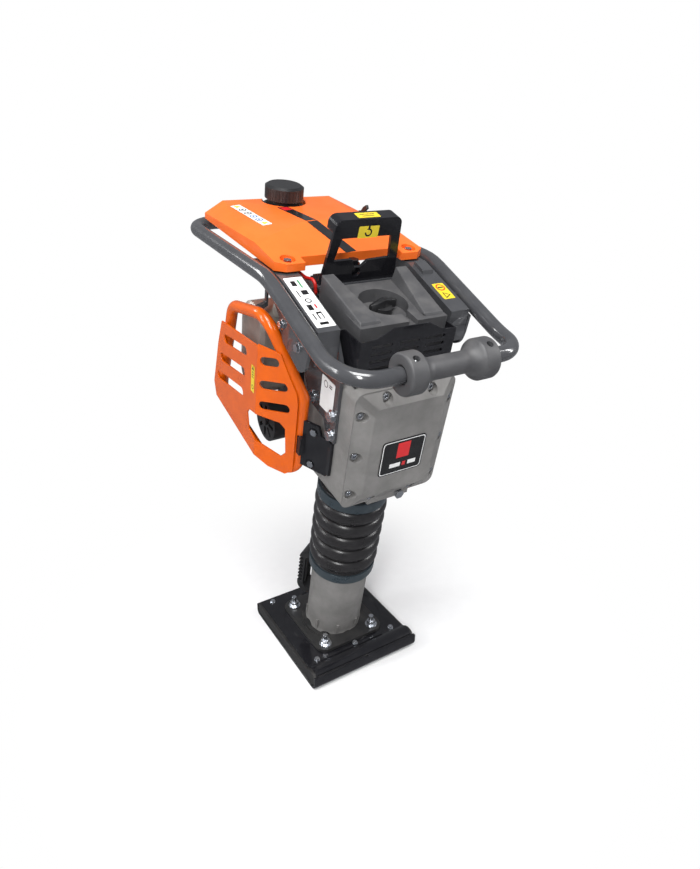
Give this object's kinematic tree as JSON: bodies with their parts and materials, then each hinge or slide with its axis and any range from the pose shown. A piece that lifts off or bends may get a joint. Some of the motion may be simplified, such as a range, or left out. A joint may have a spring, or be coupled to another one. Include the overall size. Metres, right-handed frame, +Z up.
{
  "type": "jumping jack rammer",
  "caption": "Upright soil rammer: flat shoe and sprung leg with bellows under a leaning gearbox, engine, fuel tank, loop handle, front roller and side guard.",
  "frame": {"origin": "middle of the sole's flat underside, on the ground", "axes": "+Z up; the rolled nose of the shoe and the roller point to -Y; the side guard is on -X"},
  "size_m": [0.3985, 0.7115, 1.0627],
  "materials": {
    "black_steel": "satin",
    "infill": "matte",
    "zinc": "satin",
    "dark_casting": "matte",
    "grey_casting": "cast",
    "engine_casting": "cast",
    "black_plastic": "grained",
    "grey_plastic": "grained",
    "machined_steel": "machined",
    "spring_steel": "satin",
    "rubber": "matte",
    "band": "satin",
    "bronze": "machined",
    "badge": "gloss",
    "lining": "rough",
    "muffler_steel": "heat stained",
    "lead_red": "satin",
    "filter_paper": "pleated",
    "frame_grey": "satin",
    "tank_orange": "satin",
    "guard_orange": "satin",
    "tap_brass": "satin"
  },
  "bodies": {
    "shoe_unit": {"sole_plate": "black_steel", "shoe_core": "infill", "shoe_top": "black_steel", "shoe_bolts": "zinc", "foot_casting": "dark_casting", "foot_studs": "zinc", "leg_casting": "grey_casting", "leg_handle": "black_plastic", "spring_cylinder": "machined_steel", "cylinder_cap": "machined_steel", "lower_spring": "spring_steel", "upper_spring": "spring_steel", "bellows": "rubber", "lower_clamp": "band"},
    "machine": {"upper_clamp": "band", "guide_cylinder": "grey_casting", "guide_bush": "bronze", "piston": "machined_steel", "piston_rod": "machined_steel", "gear_housing": "grey_casting", "gear_cover": "grey_casting", "cover_bolts": "zinc", "badge_plate": "badge", "bearings": "machined_steel", "engine": "engine_casting", "muffler": "muffler_steel", "carburettor": "engine_casting", "starter_cover": "black_plastic", "spark_plug": "black_plastic", "plug_lead": "lead_red", "air_base": "black_plastic", "air_cover": "grey_plastic", "filter_element": "filter_paper", "air_guard": "black_steel", "lifting_bail": "black_steel", "handle_tube": "frame_grey", "left_channel": "frame_grey", "right_channel": "frame_grey", "side_plates": "frame_grey", "gussets": "frame_grey", "rubber_mounts": "rubber", "frame_bolts": "zinc", "fuel_tank": "tank_orange", "fuel_tap": "tap_brass", "throttle_cable": "rubber", "guard_tube": "guard_orange", "guard_plate": "guard_orange", "guard_bracket": "black_steel"},
    "crank": {"crank_gear": "machined_steel"},
    "conrod": {"connecting_rod": "machined_steel"},
    "pinion_unit": {"pinion": "machined_steel", "clutch_drum": "machined_steel"},
    "engine_shaft": {"crankshaft": "machined_steel", "clutch_shoes": "lining"},
    "grip": {"starter_grip": "black_plastic"},
    "knob": {"air_knob": "black_plastic"},
    "front_roller": {"roller": "grey_plastic"},
    "cap_seat": {"cap_gasket": "rubber"},
    "cap": {"fuel_cap": "black_plastic"},
    "throttle": {"throttle_lever": "black_plastic"}
  },
  "joints": [
    {"name": "leg_slide", "type": "slide", "parent": "shoe_unit", "child": "machine", "axis": [0, -0.225, 0.9744], "range_m": [-0.03, 0.035], "stiffness_N_per_m": 40000, "springref_m": 0.01282, "deforming": ["bellows", "lower_spring", "upper_spring"]},
    {"name": "crank_spin", "type": "hinge", "parent": "machine", "child": "crank", "pos_m": [0, -0.13647, 0.64911], "axis": [0, 0.9744, 0.225], "continuous": true},
    {"name": "conrod_turn", "type": "hinge", "parent": "crank", "child": "conrod", "pos_m": [0, -0.13152, 0.62767], "axis": [0, 0.9744, 0.225], "continuous": true},
    {"name": "pinion_spin", "type": "hinge", "parent": "machine", "child": "pinion_unit", "pos_m": [0, -0.15672, 0.7368], "axis": [0, 0.9744, 0.225], "continuous": true},
    {"name": "engine_spin", "type": "hinge", "parent": "machine", "child": "engine_shaft", "pos_m": [0, -0.15672, 0.7368], "axis": [0, 0.9744, 0.225], "continuous": true},
    {"name": "starter_pull", "type": "slide", "parent": "machine", "child": "grip", "axis": [0, 0.9744, 0.225], "range_m": [0, 0.45], "stiffness_N_per_m": 15, "springref_m": -0.1},
    {"name": "knob_turn", "type": "hinge", "parent": "machine", "child": "knob", "pos_m": [0, -0.19211, 0.87231], "axis": [0, -0.225, 0.9744], "range_deg": [0, 90]},
    {"name": "roller_spin", "type": "hinge", "parent": "machine", "child": "front_roller", "pos_m": [0, -0.37101, 0.81151], "axis": [1, 0, 0], "continuous": true},
    {"name": "cap_lift", "type": "slide", "parent": "machine", "child": "cap_seat", "axis": [0, -0.225, 0.9744], "range_m": [0, 0.0061], "stiffness_N_per_m": 20, "springref_m": 0.1263},
    {"name": "cap_turn", "type": "hinge", "parent": "cap_seat", "child": "cap", "pos_m": [0, 0.19029, 1.01191], "axis": [0, -0.225, 0.9744], "range_deg": [0, 540]},
    {"name": "throttle_turn", "type": "hinge", "parent": "machine", "child": "throttle", "pos_m": [0.1675, 0.14645, 0.98845], "axis": [-1, 0, 0], "range_deg": [0, 50]}
  ],
  "couplings": [
    {"joint": "conrod_turn", "follows": "crank_spin", "ratio": -1},
    {"joint": "pinion_spin", "follows": "crank_spin", "ratio": -5},
    {"joint": "cap_lift", "follows": "cap_turn", "m_per_rad": 0.00063662}
  ]
}
